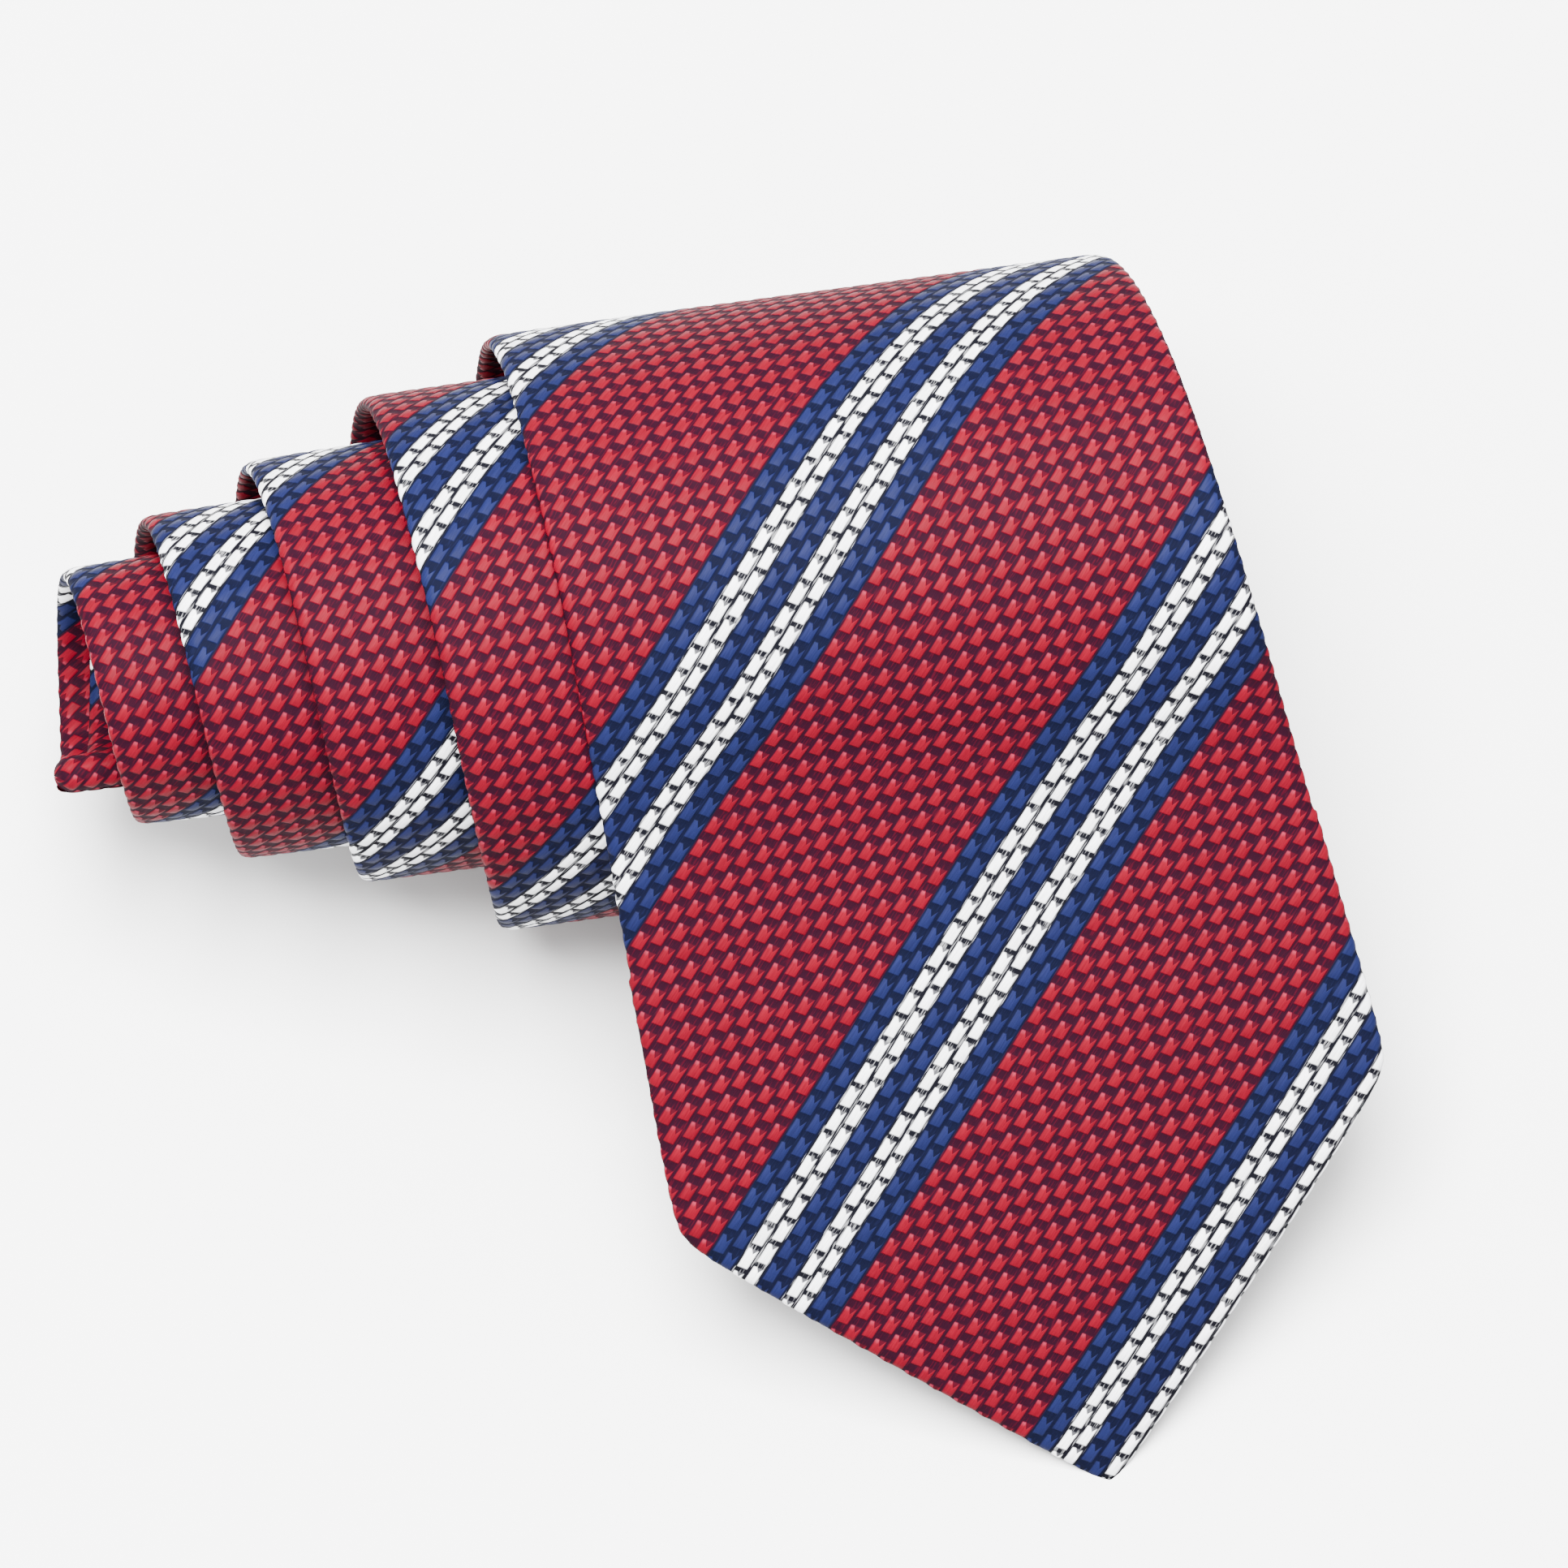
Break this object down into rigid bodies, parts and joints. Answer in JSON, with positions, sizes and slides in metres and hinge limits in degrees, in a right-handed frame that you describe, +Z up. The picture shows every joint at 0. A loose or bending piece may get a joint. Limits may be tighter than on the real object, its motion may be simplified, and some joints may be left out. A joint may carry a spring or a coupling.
{
  "type": "necktie",
  "caption": "Woven silk necktie with diagonal stripes, folded at the neck and rolled up, its blade leaning down in front of the roll.",
  "frame": {"origin": "on the table under the axis of the roll, at the middle of the flat where the outer turn rests", "axes": "+X along the axis of the roll, away from the fanned-out inner turns; +Z up; the blade's point faces -Y"},
  "size_m": [0.1399, 0.1266, 0.0658],
  "materials": {
    "silk": "woven silk, red with navy and white bias stripes, soft sheen",
    "lining": "plain satin lining",
    "interlining": "brushed wool canvas",
    "label": "woven label, plain",
    "thread": "twisted sewing thread"
  },
  "bodies": {
    "roll": {"blade_shell_turn_1": "silk", "blade_interlining_turn_1": "interlining", "blade_stitch_turn_1": "thread", "blade_tipping_turn_1": "lining", "tail_shell_turn_1": "silk", "tail_interlining_turn_1": "interlining", "tail_stitch_turn_1": "thread", "tail_tipping": "lining", "maker_label": "label", "care_label": "label", "keeper_loop": "silk", "blade_bar_tack": "thread", "tail_bar_tack": "thread"},
    "ramp": {"blade_shell_ramp": "silk", "blade_interlining_ramp": "interlining", "blade_tipping_ramp": "lining"},
    "tip": {"blade_shell_tip": "silk", "blade_interlining_tip": "interlining", "blade_tipping_tip": "lining"},
    "turn_2": {"blade_shell_turn_2": "silk", "blade_interlining_turn_2": "interlining", "blade_stitch_turn_2": "thread", "tail_shell_turn_2": "silk", "tail_interlining_turn_2": "interlining", "tail_stitch_turn_2": "thread"},
    "turn_3": {"blade_shell_turn_3": "silk", "blade_interlining_turn_3": "interlining", "blade_stitch_turn_3": "thread", "tail_shell_turn_3": "silk", "tail_interlining_turn_3": "interlining", "tail_stitch_turn_3": "thread"},
    "turn_4": {"neck_shell_turn_4": "silk", "neck_interlining_turn_4": "interlining", "neck_stitch_turn_4": "thread", "return_shell_turn_4": "silk", "return_interlining_turn_4": "interlining", "return_stitch_turn_4": "thread"},
    "core": {"neck_shell_core": "silk", "neck_interlining_core": "interlining", "neck_stitch_core": "thread", "return_shell_core": "silk", "return_interlining_core": "interlining", "return_stitch_core": "thread", "neck_fold": "silk"}
  },
  "joints": [
    {"name": "blade_lift", "type": "hinge", "parent": "roll", "child": "ramp", "pos_m": [0.016, -0.02457, 0.05425], "axis": [-1, 0, 0], "range_deg": [0, 100]},
    {"name": "point_lift", "type": "hinge", "parent": "ramp", "child": "tip", "pos_m": [0.016, -0.0541, 0.03177], "axis": [-1, 0, 0], "range_deg": [0, 60]},
    {"name": "fan_turn_2", "type": "slide", "parent": "roll", "child": "turn_2", "axis": [1, 0, 0], "range_m": [-0.005, 0.012]},
    {"name": "fan_turn_3", "type": "slide", "parent": "turn_2", "child": "turn_3", "axis": [1, 0, 0], "range_m": [-0.005, 0.012]},
    {"name": "fan_turn_4", "type": "slide", "parent": "turn_3", "child": "turn_4", "axis": [1, 0, 0], "range_m": [-0.005, 0.012]},
    {"name": "fan_core", "type": "slide", "parent": "turn_4", "child": "core", "axis": [1, 0, 0], "range_m": [-0.005, 0.012]}
  ],
  "couplings": [
    {"joint": "fan_turn_3", "follows": "fan_turn_2", "ratio": 1},
    {"joint": "fan_turn_4", "follows": "fan_turn_2", "ratio": 1},
    {"joint": "fan_core", "follows": "fan_turn_2", "ratio": 1}
  ]
}
